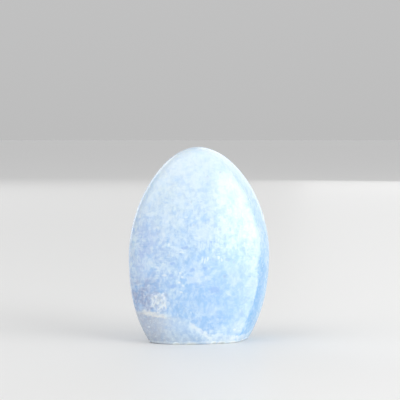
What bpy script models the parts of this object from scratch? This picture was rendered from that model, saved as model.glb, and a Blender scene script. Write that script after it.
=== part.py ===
"""Blue calcite freeform: one polished stone, 100 mm tall, standing on its sawn foot.

The form is an egg whose front and back were ground down to broad, gently curved faces. A soft
ridge is left wherever two of these surfaces meet, most clearly along the right of the front face.
Metres, +Z up, front towards -Y. The origin lies in the plane of the foot, midway between the
stone's two sides and midway between its front and back.
"""

import math

import bmesh
import bpy
from mathutils import Vector

# The stone's heart, the point inside it that every surface is measured from
HEART_ACROSS = -0.0005
HEART_DEEP = -0.0002
HEART_HEIGHT = 0.0445

# The egg
EGG_HALF_WIDTH_LEFT = 0.0365
EGG_HALF_WIDTH_RIGHT = 0.0395
EGG_RISE = 0.0559
EGG_DROP = 0.0596
EGG_HALF_DEPTH = 0.050
# The outline's roundness: 2 is an ellipse, and less is more pointed
CROWN_ROUNDNESS = 1.83
LOWER_ROUNDNESS = 2.19
SECTION_ROUNDNESS = 1.8
# How far the egg's widest line falls back for each metre to the right
BACKWARD_SLANT = 0.5

# The two ground faces: the closest point to the heart, and how the face curves there
FRONT_DISTANCE = 0.0245
FRONT_SHIFT = -0.009
FRONT_RADIUS_ACROSS = 0.072
FRONT_RADIUS_UPWARD = 0.155
BACK_DISTANCE = 0.025
BACK_SHIFT = 0.002
BACK_RADIUS_ACROSS = 0.060
BACK_RADIUS_UPWARD = 0.150
FACE_DROP = -0.004

# The polish: a higher sharpness leaves a crisper ridge between two surfaces
BACK_SHARPNESS = 7.0
FRONT_SHARPNESS_LEFT = 10.0
FRONT_SHARPNESS_RIGHT = 50.0
SHARPNESS_CHANGE = 0.9

# The eased edge around the sawn foot
FOOT_EDGE_EASING = 0.0007
FOOT_EDGE_STEPS = 2

# The mesh: a sphere's rings become level sections, and those from the foot ring down lie in the foot
MERIDIANS = 80
RINGS = 44
FOOT_RING = 10
SMOOTH_BELOW = math.radians(35)
SEARCH_REACH = 0.06
SEARCH_STEPS = 30

STONE_COLOUR = (0.42, 0.66, 0.90, 1.0)
STONE_ROUGHNESS = 0.28


def soft_larger(first, second, sharpness):
    """The larger of two values, eased where they are close to each other."""
    return (first**sharpness + second**sharpness) ** (1 / sharpness)


def egg_fullness(spot):
    """Grows evenly along each ray from the heart, and is 1 on the egg's skin."""
    width = abs(spot.x) / (EGG_HALF_WIDTH_LEFT if spot.x < 0 else EGG_HALF_WIDTH_RIGHT)
    depth = abs(spot.y - BACKWARD_SLANT * spot.x) / EGG_HALF_DEPTH
    if spot.z > 0:
        outline = soft_larger(width, spot.z / EGG_RISE, CROWN_ROUNDNESS)
    else:
        outline = soft_larger(width, -spot.z / EGG_DROP, LOWER_ROUNDNESS)
    return soft_larger(outline, depth, SECTION_ROUNDNESS)


def face_fullness(spot, facing, distance, shift, across, upward):
    """The same for a ground face, a shallow dome that faces -Y or +Y."""
    curve = spot.x**2 / (2 * across) + spot.z**2 / (2 * upward)
    slope = facing * spot.y - spot.x * shift / across - spot.z * FACE_DROP / upward
    reach = distance - shift**2 / (2 * across) - FACE_DROP**2 / (2 * upward)
    return (slope + math.sqrt(slope**2 + 4 * curve * reach)) / (2 * reach)


def front_sharpness(spot):
    """Goes smoothly from the left ridge's value to the right one's."""
    share = min(max(0.5 + spot.x / spot.length / SHARPNESS_CHANGE, 0.0), 1.0)
    share = share * share * (3 - 2 * share)
    return FRONT_SHARPNESS_LEFT + (FRONT_SHARPNESS_RIGHT - FRONT_SHARPNESS_LEFT) * share


def fullness(spot):
    """Under 1 inside the stone, 1 on its skin. The spot is measured from the heart."""
    front = face_fullness(spot, -1, FRONT_DISTANCE, FRONT_SHIFT, FRONT_RADIUS_ACROSS, FRONT_RADIUS_UPWARD)
    back = face_fullness(spot, 1, BACK_DISTANCE, BACK_SHIFT, BACK_RADIUS_ACROSS, BACK_RADIUS_UPWARD)
    body = soft_larger(egg_fullness(spot), back, BACK_SHARPNESS)
    return soft_larger(body, front, front_sharpness(spot))


def skin_radius(bearing, height):
    """How far the skin is from the upright through the heart, along a level bearing."""
    inside, outside = 0.0, SEARCH_REACH
    for _ in range(SEARCH_STEPS):
        middle = (inside + outside) / 2
        spot = Vector((bearing.x * middle, bearing.y * middle, height - HEART_HEIGHT))
        if fullness(spot) < 1:
            inside = middle
        else:
            outside = middle
    return inside


def ring_place(ring):
    """A ring's height and how far it lies inside the skin, counted from the middle of the foot up."""
    if ring >= FOOT_RING:
        foot_level = -math.cos(math.pi * FOOT_RING / RINGS)
        level = -math.cos(math.pi * ring / RINGS)
        top = HEART_HEIGHT + 1 / fullness(Vector((0, 0, 1)))
        share = (level - foot_level) / (1 - foot_level)
        return FOOT_EDGE_EASING + (top - FOOT_EDGE_EASING) * share, 0.0
    turn = math.pi / 2 * min((FOOT_RING - ring) / FOOT_EDGE_STEPS, 1)
    return FOOT_EDGE_EASING * (1 - math.sin(turn)), FOOT_EDGE_EASING * (1 - math.cos(turn))


def grind_stone(stone):
    """Shapes a sphere into the stone, its foot flat at z = 0 with an eased edge."""
    bmesh.ops.create_uvsphere(stone, u_segments=MERIDIANS, v_segments=RINGS, radius=1)
    for point in stone.verts:
        bearing = Vector((point.co.x, point.co.y, 0)).normalized()
        ring = round(RINGS * math.acos(-point.co.z) / math.pi)
        height, inset = ring_place(ring)
        flat_share = min(ring / (FOOT_RING - FOOT_EDGE_STEPS), 1)
        radius = (skin_radius(bearing, height) - inset) * flat_share
        point.co = bearing * radius + Vector((HEART_ACROSS, HEART_DEEP, height))


def polished_calcite():
    material = bpy.data.materials.new("blue_calcite")
    material.use_nodes = True
    shader = material.node_tree.nodes["Principled BSDF"]
    shader.inputs["Base Color"].default_value = STONE_COLOUR
    shader.inputs["Roughness"].default_value = STONE_ROUGHNESS
    shader.inputs["Metallic"].default_value = 0.0
    return material


def blue_calcite(collection):
    stone = bmesh.new()
    grind_stone(stone)
    bmesh.ops.recalc_face_normals(stone, faces=stone.faces)
    mesh = bpy.data.meshes.new("blue_calcite")
    stone.to_mesh(mesh)
    stone.free()
    mesh.shade_smooth()
    mesh.set_sharp_from_angle(angle=SMOOTH_BELOW)
    mesh.materials.append(polished_calcite())
    collection.objects.link(bpy.data.objects.new("blue_calcite", mesh))


for leftover in list(bpy.data.objects):
    bpy.data.objects.remove(leftover)
freeform = bpy.data.collections.new("blue_calcite_freeform")
bpy.context.scene.collection.children.link(freeform)
blue_calcite(freeform)
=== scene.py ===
import math
import random

import bpy
import numpy as np
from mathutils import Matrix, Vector, noise


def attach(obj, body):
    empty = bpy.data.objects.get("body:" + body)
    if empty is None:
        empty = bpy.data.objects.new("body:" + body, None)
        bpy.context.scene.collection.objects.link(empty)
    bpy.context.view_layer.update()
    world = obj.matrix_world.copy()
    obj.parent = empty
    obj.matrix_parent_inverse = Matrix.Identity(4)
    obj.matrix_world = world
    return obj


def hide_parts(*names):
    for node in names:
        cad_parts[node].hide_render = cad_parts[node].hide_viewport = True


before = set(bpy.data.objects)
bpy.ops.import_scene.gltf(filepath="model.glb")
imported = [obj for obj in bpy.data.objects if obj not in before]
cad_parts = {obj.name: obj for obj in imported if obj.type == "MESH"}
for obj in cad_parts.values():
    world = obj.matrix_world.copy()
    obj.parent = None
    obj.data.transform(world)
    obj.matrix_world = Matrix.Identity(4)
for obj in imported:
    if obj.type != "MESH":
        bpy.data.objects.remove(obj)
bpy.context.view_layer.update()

# The stone
# One piece of blue calcite, broken from a larger lump and sawn flat for a foot. It was ground by hand
# to an egg with a broad front and back, which leaves a soft ridge where the surfaces meet, and then
# polished to a satin gloss.

# The heart is the point inside the stone that its surfaces are measured from
HEART = np.array([-0.0005, -0.0002, 0.0445])

# The egg. A roundness of 2 is an ellipse, and less is more pointed. The slant is how far its widest
# line falls back for each metre to the right
EGG_HALF_WIDTH_LEFT = 0.0365
EGG_HALF_WIDTH_RIGHT = 0.0395
EGG_RISE = 0.0559
EGG_DROP = 0.0596
EGG_HALF_DEPTH = 0.050
CROWN_ROUNDNESS = 1.83
LOWER_ROUNDNESS = 2.19
SECTION_ROUNDNESS = 1.8
BACKWARD_SLANT = 0.5

# The two ground faces: how close each comes to the heart, and how it curves there
FRONT_DISTANCE = 0.0245
FRONT_SHIFT = -0.009
FRONT_RADIUS_ACROSS = 0.072
FRONT_RADIUS_UPWARD = 0.155
BACK_DISTANCE = 0.025
BACK_SHIFT = 0.002
BACK_RADIUS_ACROSS = 0.060
BACK_RADIUS_UPWARD = 0.150
FACE_DROP = -0.004

# The polish: a higher sharpness leaves a crisper ridge between two surfaces. The front ridge's changes
# from the left to the right
BACK_SHARPNESS = 7.0
FRONT_SHARPNESS_LEFT = 10.0
FRONT_SHARPNESS_RIGHT = 50.0
SHARPNESS_CHANGE = 0.9

# The eased edge around the sawn foot
FOOT_EDGE_EASING = 0.0007


def soft_larger(first, second, sharpness):
    """The larger of two values, eased where they are close to each other."""
    return (first**sharpness + second**sharpness) ** (1 / sharpness)


def egg_fullness(across, deep, up):
    """Grows evenly along each ray from the heart, and is 1 on the egg's skin."""
    width = np.abs(across) / np.where(across < 0, EGG_HALF_WIDTH_LEFT, EGG_HALF_WIDTH_RIGHT)
    depth = np.abs(deep - BACKWARD_SLANT * across) / EGG_HALF_DEPTH
    crown = soft_larger(width, np.maximum(up, 0) / EGG_RISE, CROWN_ROUNDNESS)
    lower = soft_larger(width, np.maximum(-up, 0) / EGG_DROP, LOWER_ROUNDNESS)
    return soft_larger(np.where(up > 0, crown, lower), depth, SECTION_ROUNDNESS)


def face_fullness(across, outward, up, distance, shift, radius_across, radius_upward):
    """The same for a ground face, a shallow dome whose outward way is given."""
    curve = across**2 / (2 * radius_across) + up**2 / (2 * radius_upward)
    slope = outward - across * shift / radius_across - up * FACE_DROP / radius_upward
    reach = distance - shift**2 / (2 * radius_across) - FACE_DROP**2 / (2 * radius_upward)
    return (slope + np.sqrt(slope**2 + 4 * curve * reach)) / (2 * reach)


def surfaces(spots):
    """How full the front face, and then the rest of the stone, are at each spot."""
    across, deep, up = (spots - HEART).T
    front = face_fullness(
        across, -deep, up, FRONT_DISTANCE, FRONT_SHIFT, FRONT_RADIUS_ACROSS, FRONT_RADIUS_UPWARD
    )
    back = face_fullness(
        across, deep, up, BACK_DISTANCE, BACK_SHIFT, BACK_RADIUS_ACROSS, BACK_RADIUS_UPWARD
    )
    return front, soft_larger(egg_fullness(across, deep, up), back, BACK_SHARPNESS)


def fullness(spots):
    """Under 1 inside the stone, 1 on its skin."""
    front, rest = surfaces(spots)
    away = np.linalg.norm(spots - HEART, axis=1)
    share = np.clip(0.5 + (spots - HEART)[:, 0] / away / SHARPNESS_CHANGE, 0, 1)
    share = share * share * (3 - 2 * share)
    ridge = FRONT_SHARPNESS_LEFT + (FRONT_SHARPNESS_RIGHT - FRONT_SHARPNESS_LEFT) * share
    return soft_larger(rest, front, ridge)


def skin_distance(starts, ways, farthest=0.06, halvings=26):
    """How far the skin is from each start inside the stone, along its way."""
    inside = np.zeros(len(starts))
    outside = np.full(len(starts), farthest)
    for _ in range(halvings):
        middle = (inside + outside) / 2
        within = fullness(starts + ways * middle[:, None]) < 1
        inside = np.where(within, middle, inside)
        outside = np.where(within, outside, middle)
    return inside


# The skin is drawn as level rings from the foot to the crown, closest together at the foot's edge.
# The body's rings are spaced like those of a sphere, from a low one up
MERIDIANS = 400
FOOT_RINGS = 10
EASING_RINGS = 6
HEM_RINGS = 20
HEM_TOP = 0.0040
BODY_RINGS = 172
LOW_COSINE = -0.82
crown_height = HEART[2] + 1 / fullness(HEART + np.array([[0.0, 0.0, 1.0]]))[0]

bearings = np.linspace(0, 2 * math.pi, MERIDIANS, endpoint=False)
level_ways = np.stack([np.sin(bearings), -np.cos(bearings), np.zeros(MERIDIANS)], axis=1)
easing_turns = np.linspace(math.pi / 2, 0, EASING_RINGS)
hem_levels = np.linspace(FOOT_EDGE_EASING, HEM_TOP, HEM_RINGS + 1)[1:]
climb = np.linspace(math.acos(LOW_COSINE), 0, BODY_RINGS + 2)[1:-1]
body_share = (np.cos(climb) - LOW_COSINE) / (1 - LOW_COSINE)
body_levels = HEM_TOP + (crown_height - HEM_TOP) * body_share
eased_levels = FOOT_EDGE_EASING * (1 - np.sin(easing_turns))
eased_insets = FOOT_EDGE_EASING * (1 - np.cos(easing_turns))
levels = np.concatenate([np.zeros(FOOT_RINGS), eased_levels, hem_levels, body_levels])
insets = np.concatenate(
    [np.full(FOOT_RINGS, FOOT_EDGE_EASING), eased_insets, np.zeros(HEM_RINGS + BODY_RINGS)]
)
reach_shares = np.ones(len(levels))
reach_shares[:FOOT_RINGS] = np.linspace(0, 1, FOOT_RINGS + 2)[1:-1]

rings = []
for level, inset, reach_share in zip(levels, insets, reach_shares):
    ring_heart = np.array([HEART[0], HEART[1], level])
    reach = skin_distance(np.tile(ring_heart, (MERIDIANS, 1)), level_ways) - inset
    rings.append(ring_heart + level_ways * (reach * reach_share)[:, None])
foot_middle = np.array([HEART[0], HEART[1], 0.0])
crown = np.array([HEART[0], HEART[1], crown_height])
skin = np.concatenate([[foot_middle], *rings, [crown]])

last = len(skin) - 1
faces = []
for ring in range(len(rings) - 1):
    for step in range(MERIDIANS):
        here = 1 + ring * MERIDIANS + step
        beside = 1 + ring * MERIDIANS + (step + 1) % MERIDIANS
        faces.append((here, beside, beside + MERIDIANS, here + MERIDIANS))
for step in range(MERIDIANS):
    beside = (step + 1) % MERIDIANS
    faces.append((0, 1 + beside, 1 + step))
    faces.append((last, last - MERIDIANS + step, last - MERIDIANS + beside))

stone_mesh = bpy.data.meshes.new("blue_calcite_stone")
stone_mesh.from_pydata(skin.tolist(), [], faces)
stone_mesh.update()
outward = np.empty(len(skin) * 3)
stone_mesh.vertex_normals.foreach_get("vector", outward)
outward = outward.reshape(-1, 3)
front_share, rest_share = surfaces(skin)
past_ridge = rest_share - front_share

# A belt held by hand leaves the skin a little uneven, in swells one to three centimetres long, given
# by their length and height. The sawn foot has none
SWELLS = ((0.026, 0.00016), (0.011, 0.00005))
SWELLS_FROM = 0.001
SWELLS_FULL_AFTER = 0.006
above_foot = np.clip((skin[:, 2] - SWELLS_FROM) / SWELLS_FULL_AFTER, 0, 1)
relief = np.zeros(len(skin))
for length, height in SWELLS:
    relief += height * np.array([noise.noise(Vector(spot) / length) for spot in skin]) * above_foot


def place_on_skin(start, way):
    return start + skin_distance(start[None, :], way[None, :])[0] * way


def on_front(across, height):
    """The place on the front skin that lies at this distance across and this height."""
    return place_on_skin(np.array([across, 0.0, height]), np.array([0.0, -1.0, 0.0]))


def on_skin(bearing, height):
    """The place on the skin at this height. Bearing 0 is the front, and 90 is the right."""
    turn = math.radians(bearing)
    way = np.array([math.sin(turn), -math.cos(turn), 0.0])
    return place_on_skin(np.array([HEART[0], HEART[1], height]), way)


# Calcite splits along three slanting planes, so where a grain was plucked out, it left a shallow pit
# with straight sides. They lie closest in the coarse white patch low on the left
PATCH_PLACE = on_front(-0.0206, 0.0222)
PATCH_HALF_WIDTH = 0.0034
PATCH_HALF_HEIGHT = 0.0032
PATCH_PITS = 12
PIT_HALF_WIDTHS = (0.0005, 0.0009)
PIT_DEPTHS = (0.00010, 0.00024)
STRAY_PITS = 26
STRAY_HEIGHTS = (0.008, 0.088)
STRAY_HALF_WIDTHS = (0.0005, 0.0010)
STRAY_DEPTHS = (0.00006, 0.00016)
PIT_WALL_SHARE = 0.35
CLEAVAGE_WAYS = np.array([[0.94, 0.10, 0.33], [-0.30, 0.22, 0.93], [0.25, 0.95, -0.20]])
hand = random.Random(11)
pits = []
for _ in range(PATCH_PITS):
    across = PATCH_PLACE[0] + hand.uniform(-PATCH_HALF_WIDTH, PATCH_HALF_WIDTH)
    height = PATCH_PLACE[2] + hand.uniform(-PATCH_HALF_HEIGHT, PATCH_HALF_HEIGHT)
    spot = on_front(across, height)
    pits.append((spot, hand.uniform(*PIT_HALF_WIDTHS), hand.uniform(*PIT_DEPTHS)))
for _ in range(STRAY_PITS):
    spot = on_skin(hand.uniform(0, 360), hand.uniform(*STRAY_HEIGHTS))
    pits.append((spot, hand.uniform(*STRAY_HALF_WIDTHS), hand.uniform(*STRAY_DEPTHS)))
pitted = np.zeros(len(skin))
for spot, half_width, depth in pits:
    away = np.abs((skin - spot) @ CLEAVAGE_WAYS.T).max(axis=1)
    hollow = np.clip((half_width - away) / (PIT_WALL_SHARE * half_width), 0, 1)
    relief -= depth * hollow
    pitted = np.maximum(pitted, hollow)
skin += outward * relief[:, None]

# Knocks on hard shelves have broken small flakes off the sharp edge of the foot. The stone is whitened a
# little beyond each, partly the white of fresh breaks and partly a painted glint. The chips at the front
# are given by their bearing and half length
FRONT_CHIPS = ((-31.0, 0.0014), (-13.5, 0.0023), (23.0, 0.0013))
OTHER_CHIPS = 15
OTHER_BEARINGS = (30, 315)
CHIP_HALF_LENGTHS = (0.0007, 0.0020)
CHIP_HALF_HEIGHTS = (0.0006, 0.0013)
CHIP_DEPTHS = (0.00025, 0.00055)
CHIP_INWARD_REACH = 0.004
WHITENING_REACH = 1.45
WHITENING_FADE = 0.5
chipped = np.zeros(len(skin))
chip_places = list(FRONT_CHIPS)
for _ in range(OTHER_CHIPS):
    chip_places.append((hand.uniform(*OTHER_BEARINGS), hand.uniform(*CHIP_HALF_LENGTHS)))
for bearing, half_length in chip_places:
    half_height = hand.uniform(*CHIP_HALF_HEIGHTS)
    depth = hand.uniform(*CHIP_DEPTHS)
    edge = on_skin(bearing, FOOT_EDGE_EASING)
    inward = foot_middle - edge
    inward[2] = 0.0
    inward /= np.linalg.norm(inward)
    along = np.array([inward[1], -inward[0], 0.0])
    away = np.sqrt(((skin - edge) @ along / half_length) ** 2 + (skin[:, 2] / half_height) ** 2)
    away = np.maximum(away, np.abs((skin - edge) @ inward) / CHIP_INWARD_REACH)
    flake = np.sqrt(np.clip(1 - away**2, 0, 1))
    skin += inward * (flake * depth)[:, None]
    chipped = np.maximum(chipped, np.clip((WHITENING_REACH - away) / WHITENING_FADE, 0, 1))

stone_mesh.vertices.foreach_set("co", skin.reshape(-1))
stone_mesh.update()
stone_mesh.shade_smooth()
skin_shares = {"past_ridge": past_ridge, "pitted": pitted, "chipped": chipped}
for name, values in skin_shares.items():
    stone_mesh.attributes.new(name, "FLOAT", "POINT").data.foreach_set("value", values)
stone = bpy.data.objects.new("blue_calcite_stone", stone_mesh)
bpy.context.scene.collection.objects.link(stone)
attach(stone, "root")
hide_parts("blue_calcite")

# Its colour and polish are worked out from places in the stone and from the shares kept on its skin
stone_look = bpy.data.materials.new("polished_blue_calcite")
stone_look.use_nodes = True
calcite = stone_look.node_tree
shader = calcite.nodes["Principled BSDF"]


def add(kind, sockets, **settings):
    """Adds a node to the calcite, and joins or sets its sockets, which are named or counted from 0."""
    made = calcite.nodes.new("ShaderNode" + kind)
    for setting, value in settings.items():
        setattr(made, setting, value)
    for socket, value in sockets.items():
        if isinstance(value, bpy.types.NodeSocket):
            calcite.links.new(value, made.inputs[socket])
        else:
            made.inputs[socket].default_value = value
    return made


def plus(first, second):
    return add("Math", {0: first, 1: second}, operation="ADD").outputs[0]


def minus(first, second):
    return add("Math", {0: first, 1: second}, operation="SUBTRACT").outputs[0]


def times(share, *others):
    """The product of several shares."""
    for other in others:
        share = add("Math", {0: share, 1: other}, operation="MULTIPLY").outputs[0]
    return share


def largest(share, *others):
    """The largest of several shares."""
    for other in others:
        share = add("Math", {0: share, 1: other}, operation="MAXIMUM").outputs[0]
    return share


def eased_larger(first, second, easing):
    """The larger of two values, eased where they are closer to each other than the easing."""
    return add("Math", {0: first, 1: second, 2: easing}, operation="SMOOTH_MAX").outputs[0]


def gap_from_zero(value):
    return add("Math", {0: value}, operation="ABSOLUTE").outputs[0]


def rise(value, low, high, top=1.0):
    """0 up to the low value and the top share from the high one on, eased between them."""
    sockets = {"Value": value, "From Min": low, "From Max": high, "To Max": top}
    return add("MapRange", sockets, interpolation_type="SMOOTHSTEP").outputs["Result"]


def fall(value, low, high, top=1.0):
    """The top share up to the low value, and 0 from the high one on."""
    sockets = {"Value": value, "From Min": low, "From Max": high, "To Min": top, "To Max": 0.0}
    return add("MapRange", sockets, interpolation_type="SMOOTHSTEP").outputs["Result"]


def tinted(colour, tint, share):
    """The colour, with a share of the tint mixed in."""
    return add("Mix", {0: share, 6: colour, 7: tint}, data_type="RGBA").outputs[2]


def cloudy(places, size, detail=3, start=(0, 0, 0), stretch=(1, 1, 1), turn=(0, 0, 0)):
    """Soft clouds of about this size, with values round 0.5. Each kind has a start of its own."""
    scale = [1 / share for share in stretch]
    sockets = {"Vector": places, "Location": start, "Rotation": turn, "Scale": scale}
    moved = add("Mapping", sockets).outputs[0]
    return add("TexNoise", {"Vector": moved, "Scale": 1 / size, "Detail": detail}).outputs[0]


def grains(places, size, stretch=(1, 1, 1), blending=0.35):
    """Close-packed grains of about this size, each with its own value from 0 to 1."""
    scale = [1 / share for share in stretch]
    moved = add("Mapping", {"Vector": places, "Scale": scale}).outputs[0]
    sockets = {"Vector": moved, "Scale": 1 / size, "Smoothness": blending}
    packed = add("TexVoronoi", sockets, feature="SMOOTH_F1").outputs["Color"]
    return add("SeparateColor", {0: packed}).outputs[0]


# All of it is laid out in metres in the stone itself, first warped a little so that nothing is straight
WARP_SIZE = 0.009
WARP_DEPTH = 0.0028
straight = add("TexCoord", {}).outputs["Object"]
warp = add("TexNoise", {"Vector": straight, "Scale": 1 / WARP_SIZE, "Detail": 3}).outputs["Color"]
warp = add("VectorMath", {0: warp, 1: (0.5, 0.5, 0.5)}, operation="SUBTRACT").outputs[0]
warp = add("VectorMath", {0: warp, "Scale": WARP_DEPTH}, operation="SCALE").outputs[0]
place = add("VectorMath", {0: straight, 1: warp}, operation="ADD").outputs[0]
across, deep, height = add("SeparateXYZ", {0: place}).outputs


def away_from(spot):
    return add("VectorMath", {0: place, 1: spot}, operation="DISTANCE").outputs["Value"]


def mesh_share(name):
    return add("Attribute", {}, attribute_name=name).outputs["Fac"]


RAGGED_SIZE = 0.0016
ragged = minus(cloudy(straight, RAGGED_SIZE, start=(0.2, 0.5, 0.8)), 0.5)


def roughened(value, raggedness):
    """The value with an uneven amount added, so that whatever it bounds gets a ragged edge."""
    return add("Math", {0: ragged, 1: raggedness, 2: value}, operation="MULTIPLY_ADD").outputs[0]


BLOT_EDGE = (0.55, 1.35)


def blots(marks, raggedness=1.4):
    """The share of marks given by their distance across, height, half width and half height."""
    shares = []
    for mark_across, mark_height, half_width, half_height in marks:
        spot = on_front(mark_across, mark_height)
        gap = add("VectorMath", {0: place, 1: spot}, operation="SUBTRACT").outputs[0]
        reach = (half_width, (half_width + half_height) / 2, half_height)
        gap = add("VectorMath", {0: gap, 1: reach}, operation="DIVIDE").outputs[0]
        length = add("VectorMath", {0: gap}, operation="LENGTH").outputs["Value"]
        shares.append(fall(roughened(length, raggedness), *BLOT_EDGE))
    return largest(*shares)


# The colour lies in soft zones: paler towards the crown, partly the stone's own haze and partly painted
# light from above, a clear deeper blue low in the middle, and a lavender cast on the left. A dusky
# lavender low on the left is painted shade, and a pale band along the left edge is painted reflection.
# Each range says where a share starts to change, where it stops and how large it gets. Each deeper or
# shaded zone has a colour, a middle and a range for the distance from it
SKY_BLUE = (0.54, 0.71, 0.88, 1)
DEEP_BLUE = (0.375, 0.595, 0.88, 1)
CLEAR_BLUE = (0.44, 0.67, 0.85, 1)
# A pale white for the stone's own clouds and specks, also used for painted highlight and painted
# reflection
CLOUD_AND_PAINTED_LIGHT_WHITE = (0.68, 0.79, 0.84, 1)
CLOT_WHITE = (0.74, 0.84, 0.92, 1)
LAVENDER = (0.43, 0.54, 0.83, 1)
PAINTED_SHADE_LAVENDER = (0.33, 0.40, 0.60, 1)
ZONE_WANDER_SIZE = 0.024
ZONE_WANDER = 0.030
LAVENDER_LEFTWARD = (0.004, 0.036, 0.75)
LAVENDER_THINNING = (0.056, 0.078, 0.35)
LAVENDER_LEAST = 0.65
# Painted reflection: a pale band along the left edge, given across and between two heights
LEFT_RIM_REFLECTION_ACROSS = (-0.0340, -0.0295, 0.45)
LEFT_RIM_REFLECTION_BOTTOM = (0.034, 0.042)
LEFT_RIM_REFLECTION_TOP = (0.060, 0.068)
CLEAR_ACROSS = (0.008, 0.026, 0.80)
DEEPER_AND_SHADED_ZONES = (
    (DEEP_BLUE, (0.002, -0.022, 0.020), (0.006, 0.038, 0.95)),
    (DEEP_BLUE, (-0.010, 0.022, 0.050), (0.004, 0.034, 0.70)),
    # Painted shade: a dusky lavender that darkens the lower left
    (PAINTED_SHADE_LAVENDER, (-0.030, -0.020, 0.023), (0.004, 0.018, 0.92)),
)
CROWN_PALING_AND_TOP_LIGHT = (0.042, 0.096, 0.85)
CLEAR_CAST = (0.006, 0.020, 0.20)
CROWN_CLOT_PLACE = (-0.011, -0.017, 0.087)
CROWN_CLOT_REACH = (0.004, 0.017, 0.50)
zone_wander = times(minus(cloudy(straight, ZONE_WANDER_SIZE, detail=2), 0.5), ZONE_WANDER)
zone_height = plus(height, zone_wander)
lavender_height = plus(fall(height, *LAVENDER_THINNING), LAVENDER_LEAST)
lavender_share = times(rise(times(across, -1.0), *LAVENDER_LEFTWARD), lavender_height)
# Painted reflection: the pale band along the left edge
left_rim_reflection = times(
    fall(across, *LEFT_RIM_REFLECTION_ACROSS), rise(height, *LEFT_RIM_REFLECTION_BOTTOM), fall(height, *LEFT_RIM_REFLECTION_TOP)
)
colour = tinted(SKY_BLUE, LAVENDER, lavender_share)
colour = tinted(colour, CLOUD_AND_PAINTED_LIGHT_WHITE, left_rim_reflection)
colour = tinted(colour, CLEAR_BLUE, rise(across, *CLEAR_ACROSS))
for zone_colour, middle, reach in DEEPER_AND_SHADED_ZONES:
    colour = tinted(colour, zone_colour, fall(away_from(middle), *reach))
# Paler towards the crown: partly the stone's own haze and partly painted light from above
colour = tinted(colour, CLOUD_AND_PAINTED_LIGHT_WHITE, rise(zone_height, *CROWN_PALING_AND_TOP_LIGHT))
colour = tinted(colour, CLEAR_BLUE, rise(across, *CLEAR_CAST))
colour = tinted(colour, CLOT_WHITE, fall(away_from(CROWN_CLOT_PLACE), *CROWN_CLOT_REACH))

# Smaller soft zones on the front: their colour, distance across, height, reach and share. The colour is
# even over the innermost part of the reach
EVEN_MIDDLE = 0.25
SOFT_ZONES = (
    (CLOUD_AND_PAINTED_LIGHT_WHITE, -0.0140, 0.0815, 0.010, 0.35),
    (CLOUD_AND_PAINTED_LIGHT_WHITE, -0.0140, 0.0665, 0.013, 0.30),
    (CLOUD_AND_PAINTED_LIGHT_WHITE, 0.0045, 0.0660, 0.012, 0.30),
    # Painted highlight: this zone and the next, by the right ridge, carry the gleam further down it
    (CLOUD_AND_PAINTED_LIGHT_WHITE, 0.0235, 0.0530, 0.010, 0.35),
    (CLOUD_AND_PAINTED_LIGHT_WHITE, 0.0185, 0.0360, 0.007, 0.40),
    (CLEAR_BLUE, 0.0120, 0.0445, 0.016, 0.45),
    (DEEP_BLUE, -0.0090, 0.0355, 0.009, 0.50),
)
for zone_colour, zone_across, zone_level, reach, share in SOFT_ZONES:
    away = away_from(on_front(zone_across, zone_level))
    colour = tinted(colour, zone_colour, fall(away, EVEN_MIDDLE * reach, reach, share))

# Clouds of tiny fluid bubbles whiten it in drifts, and clearer stone between them looks bluer. It is
# hazier towards the crown, so less of this shows there. The clouds' own axes are turned away from the
# stone's, because their edges tend to follow them
CLOUD_BLUE = (0.65, 0.79, 0.92, 1)
CLOUD_TURN = (0.5, 0.4, 0.7)
CROWN_HAZE = (0.050, 0.096, 0.65)
CROWN_CLEARNESS = 0.35
DRIFT_SIZE = 0.0085
DRIFT_RANGE = (0.49, 0.66, 0.62)
HOLLOW_SIZE = 0.0068
HOLLOW_RANGE = (0.51, 0.66, 0.60)
PUFF_SIZE = 0.0036
PALE_PUFF_RANGE = (0.52, 0.70, 0.40)
BLUE_PUFF_RANGE = (0.30, 0.48, 0.44)
clearness = plus(fall(zone_height, *CROWN_HAZE), CROWN_CLEARNESS)
drifts = cloudy(place, DRIFT_SIZE, turn=CLOUD_TURN)
hollows = cloudy(place, HOLLOW_SIZE, start=(0.3, 0.1, 0.2), turn=CLOUD_TURN)
puffs = cloudy(place, PUFF_SIZE, detail=2, start=(0.9, 0.2, 0.6), turn=CLOUD_TURN)
colour = tinted(colour, CLOUD_BLUE, times(rise(drifts, *DRIFT_RANGE), clearness))
colour = tinted(colour, DEEP_BLUE, times(rise(hollows, *HOLLOW_RANGE), clearness))
colour = tinted(colour, CLOUD_BLUE, times(rise(puffs, *PALE_PUFF_RANGE), clearness))
colour = tinted(colour, DEEP_BLUE, times(fall(puffs, *BLUE_PUFF_RANGE), clearness))

# Past the ridge on the right, the flank is painted a deeper blue: painted shade on the side that catches
# less light, paler farther from the ridge. The edge of this painted shade wanders along the ridge, a
# little in front of it low down and behind it higher up
FLANK_SHADE_BLUE = (0.22, 0.46, 0.755, 1)
RIGHT_SIDE = (0.010, 0.022)
EDGE_FORWARD = 0.020
EDGE_SETBACK = (0.040, 0.053, -0.050)
EDGE_WANDER_SIZE = 0.008
EDGE_WANDER = 0.10
FLANK_EDGE = (-0.016, 0.070)
FLANK_TOP = (0.030, 0.056)
FLANK_BOTTOM = (0.004, 0.015, 0.40)
FLANK_PALING = (0.10, 0.30, 0.56)
FLANK_LEAST = 0.38
right_side = rise(across, *RIGHT_SIDE)
edge_clouds = cloudy(straight, EDGE_WANDER_SIZE, detail=2, start=(0.4, 0.2, 0.7), turn=CLOUD_TURN)
past_edge = plus(plus(mesh_share("past_ridge"), rise(height, *EDGE_SETBACK)), EDGE_FORWARD)
past_edge = plus(past_edge, times(minus(edge_clouds, 0.5), EDGE_WANDER))
flank_height = minus(fall(zone_height, *FLANK_TOP), fall(height, *FLANK_BOTTOM))
flank_depth = plus(fall(past_edge, *FLANK_PALING), FLANK_LEAST)
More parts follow.
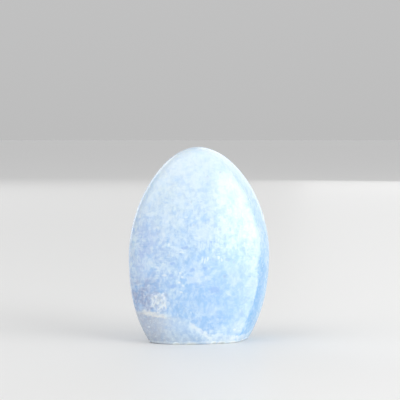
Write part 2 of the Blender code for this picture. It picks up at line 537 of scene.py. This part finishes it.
flank_shade_share = times(rise(past_edge, *FLANK_EDGE), right_side, flank_height, flank_depth)
# Painted shade: the deeper blue of the right flank
colour = tinted(colour, FLANK_SHADE_BLUE, flank_shade_share)

# A thin cream vein lies level on the left and then slopes down to the right, to the foot. Round the back
# it fades, and so does the grey under it
VEIN_HEIGHT = 0.0160
VEIN_BEND_START = -0.0095
VEIN_BEND_EASING = 0.004
VEIN_SLOPE = 0.84
VEIN_LEAN = 0.35
VEIN_LEAN_START = -0.020
VEIN_LOWEST = 0.0040
VEIN_LOWEST_WANDER_SIZE = 0.016
VEIN_LOWEST_EASING = 0.0015
VEIN_RAGGEDNESS = 0.003
ROUND_BACK = (-0.017, 0.006, 0.55)
slope_drop = times(minus(across, VEIN_BEND_START), VEIN_SLOPE)
bend_drop = eased_larger(slope_drop, 0.0, VEIN_BEND_EASING)
vein_course = minus(times(minus(deep, VEIN_LEAN_START), VEIN_LEAN), bend_drop)
lowest_clouds = cloudy(straight, VEIN_LOWEST_WANDER_SIZE, detail=2, start=(0.8, 0.1, 0.2))
vein_lowest = times(lowest_clouds, 2 * VEIN_LOWEST)
vein_level = eased_larger(plus(vein_course, VEIN_HEIGHT), vein_lowest, VEIN_LOWEST_EASING)
above_vein = roughened(minus(height, vein_level), VEIN_RAGGEDNESS)
round_back = rise(deep, *ROUND_BACK)

# Under the vein, the stone is greyer and finer in grain, with pale specks. Near the foot there it is
# darker, which is painted shade
UNDER_GREY = (0.53, 0.54, 0.59, 1)
UNDER_PALE = (0.57, 0.65, 0.75, 1)
FOOT_SHADE = (0.36, 0.40, 0.46, 1)
UNDER_EDGE = (-0.0012, 0.0008)
UNDER_ACROSS = (-0.024, 0.004, 0.66)
UNDER_PALING = (-0.022, -0.012)
FOOT_SHADE_HEIGHT = (0.001, 0.011, 0.34)
FOOT_SHADE_ACROSS = (-0.002, 0.008)
SPECK_SIZE = 0.0007
SPECK_RANGE = (0.57, 0.68, 0.85)
under_side = fall(above_vein, *UNDER_EDGE)
under_vein = times(under_side, fall(across, *UNDER_ACROSS), minus(1.0, round_back))
under_colour = tinted(UNDER_GREY, UNDER_PALE, rise(across, *UNDER_PALING))
foot_shade = times(fall(height, *FOOT_SHADE_HEIGHT), fall(across, *FOOT_SHADE_ACROSS), under_side)
specks = rise(cloudy(straight, SPECK_SIZE, detail=1, start=(0.5, 0.9, 0.3)), *SPECK_RANGE)
colour = tinted(colour, under_colour, under_vein)
# Painted shade: darker towards the foot
colour = tinted(colour, FOOT_SHADE, foot_shade)
colour = tinted(colour, CLOUD_AND_PAINTED_LIGHT_WHITE, times(specks, under_vein))

# On the slope the vein is wide and pale, with a whiter core. The level part is thin and cream, in
# patches, and faint at its left end
VEIN_PALE = (0.66, 0.78, 0.88, 1)
VEIN_WHITE = (0.76, 0.84, 0.90, 1)
VEIN_CREAM = (0.80, 0.80, 0.77, 1)
WIDE_TOP = (0.0008, 0.0018, 0.90)
WIDE_BOTTOM = (-0.0060, -0.0020)
WIDE_START = (-0.007, -0.003)
WIDE_BACK = (-0.012, 0.004)
CORE_BELOW = 0.0007
CORE_WIDTH = (0.0008, 0.0022, 0.75)
CORE_START = (-0.0060, -0.0035)
CORE_END = (0.003, 0.010)
THIN_WIDTH = (0.0008, 0.0022, 0.90)
THIN_END = (-0.022, -0.0135)
THIN_PATCH_SIZE = 0.007
THIN_PATCH_RANGE = (0.32, 0.52)
FAINT_PLACE = (-0.033, -0.012, 0.015)
FAINT_REACH = (0.006, 0.0115, 0.72)
wide_line = times(fall(above_vein, *WIDE_TOP), rise(across, *WIDE_START))
wide_line = times(wide_line, rise(above_vein, *WIDE_BOTTOM), fall(deep, *WIDE_BACK))
core_gap = gap_from_zero(plus(above_vein, CORE_BELOW))
bright_core = times(fall(core_gap, *CORE_WIDTH), rise(across, *CORE_START), fall(across, *CORE_END))
thin_line = times(fall(gap_from_zero(above_vein), *THIN_WIDTH), fall(across, *THIN_END))
thin_patches = cloudy(straight, THIN_PATCH_SIZE, detail=2, start=(0.1, 0.9, 0.4))
thin_patches = rise(thin_patches, *THIN_PATCH_RANGE)
fainter = largest(fall(away_from(FAINT_PLACE), *FAINT_REACH), round_back)
thin_line = times(thin_line, minus(thin_patches, fainter))
colour = tinted(colour, VEIN_PALE, wide_line)
colour = tinted(colour, VEIN_WHITE, bright_core)
colour = tinted(colour, VEIN_CREAM, largest(thin_line, 0.0))

# Its interlocking grains, 1 to 2 mm across, each send back a little more or less light. They show less
# in the clearest stone, under the vein and on the right flank, whose deeper blue is painted shade
GRAIN_DARK = (0.30, 0.49, 0.76, 1)
GRAIN_LIGHT = (0.78, 0.88, 0.94, 1)
GRAIN_SIZE = 0.0014
GRAIN_STRETCH = (1.0, 1.0, 1.5)
LIGHT_GRAIN_RANGE = (0.56, 0.90, 0.30)
DARK_GRAIN_RANGE = (0.08, 0.42, 0.27)
CLEAREST_PLACE = (0.012, -0.022, 0.026)
CLEAREST_REACH = (0.010, 0.026, 0.45)
UNDER_SMOOTHNESS = 0.70
FLANK_SMOOTHNESS = 0.55


def dappled(colour, tone, light_range, dark_range, share):
    """The colour, lighter where the tone is high and darker where it is low."""
    colour = tinted(colour, GRAIN_LIGHT, times(rise(tone, *light_range), share))
    return tinted(colour, GRAIN_DARK, times(fall(tone, *dark_range), share))


clearest = fall(away_from(CLEAREST_PLACE), *CLEAREST_REACH)
smoother = largest(clearest, times(under_vein, UNDER_SMOOTHNESS), times(flank_shade_share, FLANK_SMOOTHNESS))
graininess = times(minus(1.0, smoother), clearness)
grain_tone = grains(place, GRAIN_SIZE, GRAIN_STRETCH)
colour = dappled(colour, grain_tone, LIGHT_GRAIN_RANGE, DARK_GRAIN_RANGE, graininess)

# Finer bubbles mottle it between the grains
MOTTLE_SIZE = 0.0019
LIGHT_MOTTLE_RANGE = (0.50, 0.70, 0.37)
DARK_MOTTLE_RANGE = (0.31, 0.49, 0.37)
mottle = cloudy(place, MOTTLE_SIZE, detail=5, start=(0.4, 0.6, 0.1))
colour = dappled(colour, mottle, LIGHT_MOTTLE_RANGE, DARK_MOTTLE_RANGE, graininess)

# The grains' cleavage shows as short straight strokes, level in some places and upright in others
STROKE_WIDTH = 0.0008
LEVEL_STRETCH = (3.8, 3.8, 1.0)
UPRIGHT_STRETCH = (1.0, 1.0, 3.0)
UPRIGHT_AREA_SIZE = 0.007
UPRIGHT_AREA_RANGE = (0.46, 0.56)
STROKE_AREA_SIZE = 0.011
STROKE_AREA_RANGE = (0.42, 0.62)
LIGHT_STROKE_RANGE = (0.51, 0.68, 0.30)
DARK_STROKE_RANGE = (0.31, 0.49, 0.34)
level_strokes = cloudy(straight, STROKE_WIDTH, detail=2, start=(0.6, 0.1, 0.3), stretch=LEVEL_STRETCH)
upright_strokes = cloudy(
    straight, STROKE_WIDTH, detail=2, start=(0.2, 0.8, 0.5), stretch=UPRIGHT_STRETCH
)
upright_areas = cloudy(straight, UPRIGHT_AREA_SIZE, detail=2, start=(0.7, 0.3, 0.1), turn=CLOUD_TURN)
upright_share = rise(upright_areas, *UPRIGHT_AREA_RANGE)
strokes = add("Mix", {"Factor": upright_share, 2: level_strokes, 3: upright_strokes}).outputs[0]
stroke_areas = cloudy(straight, STROKE_AREA_SIZE, start=(0.1, 0.2, 0.9), turn=CLOUD_TURN)
stroke_share = times(rise(stroke_areas, *STROKE_AREA_RANGE), graininess)
colour = dappled(colour, strokes, LIGHT_STROKE_RANGE, DARK_STROKE_RANGE, stroke_share)

# Marks on the front that come from this one stone: clear blue windows, pale clots and white flecks
WINDOW_BLUE = (0.31, 0.49, 0.82, 1)
WINDOW_SHARE = 0.58
WINDOWS = (
    (-0.0074, 0.0497, 0.0018, 0.0010),
    (-0.0099, 0.0460, 0.0006, 0.0005),
    (-0.0139, 0.0415, 0.0016, 0.0008),
    (-0.0034, 0.0385, 0.0014, 0.0012),
    (-0.0144, 0.0355, 0.0012, 0.0010),
    (-0.0139, 0.0303, 0.0020, 0.0009),
    (0.0075, 0.0284, 0.0028, 0.0016),
    (0.0056, 0.0520, 0.0007, 0.0006),
    (0.0031, 0.0395, 0.0010, 0.0008),
    (0.0141, 0.0430, 0.0018, 0.0009),
)
CLOT_SHARE = 0.45
CLOTS = (
    (-0.0037, 0.0335, 0.0032, 0.0018),
    (-0.0008, 0.0360, 0.0028, 0.0015),
    (-0.0168, 0.0640, 0.0030, 0.0026),
    (-0.0189, 0.0560, 0.0014, 0.0028),
    (-0.0249, 0.0660, 0.0020, 0.0012),
    (0.0044, 0.0345, 0.0020, 0.0012),
    (0.0194, 0.0085, 0.0045, 0.0036),
    (0.0024, 0.0560, 0.0052, 0.0030),
)
CRYSTAL_WHITE = (0.84, 0.90, 0.93, 1)
FLECK_SHARE = 0.62
FLECKS = (
    (-0.0154, 0.0510, 0.0004, 0.0010),
    (-0.0089, 0.0470, 0.0012, 0.0006),
    (0.0011, 0.0435, 0.0004, 0.0013),
    (0.0026, 0.0435, 0.0004, 0.0016),
    (0.0037, 0.0440, 0.0004, 0.0012),
    (0.0091, 0.0440, 0.0009, 0.0008),
    (0.0106, 0.0430, 0.0006, 0.0009),
    (-0.0094, 0.0370, 0.0009, 0.0007),
    (-0.0084, 0.0350, 0.0006, 0.0006),
    (-0.0104, 0.0320, 0.0006, 0.0006),
    (-0.0089, 0.0305, 0.0008, 0.0005),
    (-0.0094, 0.0270, 0.0008, 0.0006),
    (-0.0179, 0.0355, 0.0012, 0.0006),
    (-0.0259, 0.0090, 0.0007, 0.0006),
    (0.0176, 0.0073, 0.0007, 0.0006),
    (0.0191, 0.0034, 0.0009, 0.0006),
)
colour = tinted(colour, WINDOW_BLUE, times(blots(WINDOWS), WINDOW_SHARE))
colour = tinted(colour, CLOT_WHITE, times(blots(CLOTS), CLOT_SHARE))
colour = tinted(colour, CRYSTAL_WHITE, times(blots(FLECKS), FLECK_SHARE))

# The coarse white patch is a nest of crystals, and its pits are darker grey
PATCH_REACH = (0.0043, 0.0044)
PATCH_RAGGEDNESS = 1.1
PATCH_EDGE = (0.10, 0.60)
CRYSTAL_SIZE = 0.0012
CRYSTAL_STRETCH = (1.0, 1.0, 1.5)
CRYSTAL_RANGE = (0.40, 0.58, 0.58)
BETWEEN_CRYSTALS = 0.22
PIT_GREY = (0.42, 0.50, 0.60, 1)
PIT_DARKENING_SHARE = 0.35
patch = rise(blots(((PATCH_PLACE[0], PATCH_PLACE[2], *PATCH_REACH),), PATCH_RAGGEDNESS), *PATCH_EDGE)
crystals = cloudy(straight, CRYSTAL_SIZE, detail=2, start=(0.3, 0.3, 0.6), stretch=CRYSTAL_STRETCH)
crystals = plus(rise(crystals, *CRYSTAL_RANGE), BETWEEN_CRYSTALS)
pit_share = mesh_share("pitted")
colour = tinted(colour, CRYSTAL_WHITE, times(patch, crystals))
# Darker grey in the pits
colour = tinted(colour, PIT_GREY, times(pit_share, PIT_DARKENING_SHARE))

# A broad band along the right ridge, and the edge of the foot, are paler and duller. The dullness is
# skin rubbed by handling. The paleness is partly that rubbing and partly painted highlight along the
# ridge and the foot's edge. Around the chips the stone is white, partly fresh breaks and partly painted
# glint
RUB_AND_GLEAM_WHITE = (0.80, 0.88, 0.96, 1)
CHIP_WHITE_AND_GLINT = (0.89, 0.97, 1.00, 1)
RUB_PATCH_SIZE = 0.005
RUB_PATCH_RANGE = (0.20, 0.52)
RIDGE_RAGGEDNESS = 0.04
RIDGE_BAND_FRONT = (-0.18, -0.010, 0.42)
RIDGE_BAND_BACK = (-0.010, 0.055)
RIDGE_BAND_HEIGHT = (0.018, 0.036, 0.50)
RIDGE_BAND_LEAST = 0.50
FOOT_BAND = (0.0007, 0.0018, 0.42)
rub_patches = rise(cloudy(straight, RUB_PATCH_SIZE, start=(0.4, 0.4, 0.9)), *RUB_PATCH_RANGE)
past_band = roughened(past_edge, RIDGE_RAGGEDNESS)
# Partly painted highlight: the pale band along the right ridge
ridge_rub_and_gleam = times(rise(past_band, *RIDGE_BAND_FRONT), fall(past_band, *RIDGE_BAND_BACK), right_side)
ridge_rub_and_gleam = times(ridge_rub_and_gleam, plus(rise(height, *RIDGE_BAND_HEIGHT), RIDGE_BAND_LEAST))
rub_and_gleam = times(largest(ridge_rub_and_gleam, fall(height, *FOOT_BAND)), rub_patches)
chip_share = mesh_share("chipped")
# Partly painted highlight: the paler ridge band and the paler edge of the foot
colour = tinted(colour, RUB_AND_GLEAM_WHITE, rub_and_gleam)
# Partly painted glint: the white around the chips
colour = tinted(colour, CHIP_WHITE_AND_GLINT, chip_share)
calcite.links.new(colour, shader.inputs["Base Color"])

# The polish is a satin one, duller over coarse grains, in the pits and where it is rubbed. Under it is
# a ripple of less than a hundredth of a millimetre
SMOOTHEST = 0.17
DULL_CLOUD_SIZE = 0.004
DULL_CLOUD_SHARE = 0.14
RUBBED_DULLNESS = 0.25
PATCH_DULLNESS = 0.12
RIPPLE_SIZE = 0.0030
RIPPLE_HEIGHT = 0.00001
dull_clouds = cloudy(place, DULL_CLOUD_SIZE, detail=4, start=(0.5, 0.5, 0.2))
dullness = plus(times(dull_clouds, DULL_CLOUD_SHARE), SMOOTHEST)
dullness = plus(dullness, times(largest(pit_share, chip_share, rub_and_gleam), RUBBED_DULLNESS))
dullness = plus(dullness, times(patch, PATCH_DULLNESS))
calcite.links.new(dullness, shader.inputs["Roughness"])
bump = add("Bump", {"Height": cloudy(place, RIPPLE_SIZE), "Distance": RIPPLE_HEIGHT})
calcite.links.new(bump.outputs["Normal"], shader.inputs["Normal"])

# Light goes a few millimetres into calcite and comes out again, which softens its colours
CALCITE_IOR = 1.6
GLOW_SHARE = 0.35
GLOW_SPREAD = (0.6, 0.8, 1.0)
GLOW_DEPTH = 0.006
shader.inputs["IOR"].default_value = CALCITE_IOR
shader.inputs["Subsurface Weight"].default_value = GLOW_SHARE
shader.inputs["Subsurface Radius"].default_value = GLOW_SPREAD
shader.inputs["Subsurface Scale"].default_value = GLOW_DEPTH
stone_mesh.materials.append(stone_look)

# The floor
# A plain pale floor, wide enough to fill the view behind the stone. It has a dull finish, so that it
# mirrors next to nothing.

FLOOR_SIZE = 60.0
FLOOR_COLOUR = (0.80, 0.80, 0.79, 1)
FLOOR_ROUGHNESS = 0.45
FLOOR_SHINE = 0.15
half = FLOOR_SIZE / 2
floor_mesh = bpy.data.meshes.new("floor")
floor_mesh.from_pydata(
    [(-half, -half, 0), (half, -half, 0), (half, half, 0), (-half, half, 0)], [], [(0, 1, 2, 3)]
)
floor = bpy.data.objects.new("floor", floor_mesh)
bpy.context.scene.collection.objects.link(floor)
floor_look = bpy.data.materials.new("pale_floor")
floor_look.use_nodes = True
floor_shader = floor_look.node_tree.nodes["Principled BSDF"]
floor_shader.inputs["Base Color"].default_value = FLOOR_COLOUR
floor_shader.inputs["Roughness"].default_value = FLOOR_ROUGHNESS
floor_shader.inputs["Specular IOR Level"].default_value = FLOOR_SHINE
floor_mesh.materials.append(floor_look)

# The light
# Soft studio panels face the stone: a main one at the front right, a narrow one beside it, a wide fill
# at the front left and two behind. Nothing but the panels and a pale room lights it.

# Each panel's azimuth, elevation, width, height and power. Azimuth 0 is the camera's side, and 90 is
# the right
PANELS = (
    ("window", 49, 17, 1.50, 1.50, 31.5),
    ("side_window", 78, 13, 0.55, 1.50, 12.5),
    ("fill", -60, 42, 2.00, 2.00, 15.5),
    ("back_left", -145, 18, 1.20, 1.60, 8.0),
    ("back_right", 162, 18, 1.20, 1.60, 4.2),
)
PANEL_DISTANCE = 2.5
PANEL_AIM = Vector((0, 0, 0.05))
for name, azimuth, elevation, panel_width, panel_height, watts in PANELS:
    around = math.radians(azimuth)
    up = math.radians(elevation)
    way = Vector((math.sin(around) * math.cos(up), -math.cos(around) * math.cos(up), math.sin(up)))
    panel = bpy.data.lights.new(name, "AREA")
    panel.shape = "RECTANGLE"
    panel.size = panel_width
    panel.size_y = panel_height
    panel.energy = watts
    lamp = bpy.data.objects.new(name, panel)
    lamp.location = PANEL_AIM + way * PANEL_DISTANCE
    lamp.rotation_euler = way.to_track_quat("Z", "Y").to_euler()
    lamp.visible_camera = False
    bpy.context.scene.collection.objects.link(lamp)

# The room's own light is a little brighter overhead than at the horizon, where it meets the floor
HORIZON_LIGHT = (0.51, 0.51, 0.51, 1)
OVERHEAD_LIGHT = (0.74, 0.74, 0.75, 1)
room = bpy.data.worlds.new("studio")
room.use_nodes = True
sky = room.node_tree
ways = sky.nodes.new("ShaderNodeTexCoord")
upward = sky.nodes.new("ShaderNodeSeparateXYZ")
sky.links.new(ways.outputs["Generated"], upward.inputs[0])
shade = sky.nodes.new("ShaderNodeMix")
shade.data_type = "RGBA"
shade.inputs[6].default_value = HORIZON_LIGHT
shade.inputs[7].default_value = OVERHEAD_LIGHT
sky.links.new(upward.outputs["Z"], shade.inputs[0])
sky.links.new(shade.outputs[2], sky.nodes["Background"].inputs["Color"])
bpy.context.scene.world = room

# The camera
# A portrait lens in front of the stone, a little above its crown and tilted down. Everything is sharp,
# and the colours are shown as they are lit.

SENSOR_WIDTH = 36.0
FOCAL_IN_PHOTO_WIDTHS = 3.665
CAMERA_PLACE = (0.0001, -0.7572, 0.106)
DOWNWARD_TILT = math.radians(2.54)
lens = bpy.data.cameras.new("camera")
lens.sensor_width = SENSOR_WIDTH
lens.lens = FOCAL_IN_PHOTO_WIDTHS * SENSOR_WIDTH
camera = bpy.data.objects.new("camera", lens)
camera.location = CAMERA_PLACE
camera.rotation_euler = (math.pi / 2 - DOWNWARD_TILT, 0, 0)
bpy.context.scene.collection.objects.link(camera)
bpy.context.scene.camera = camera
bpy.context.scene.view_settings.view_transform = "Standard"
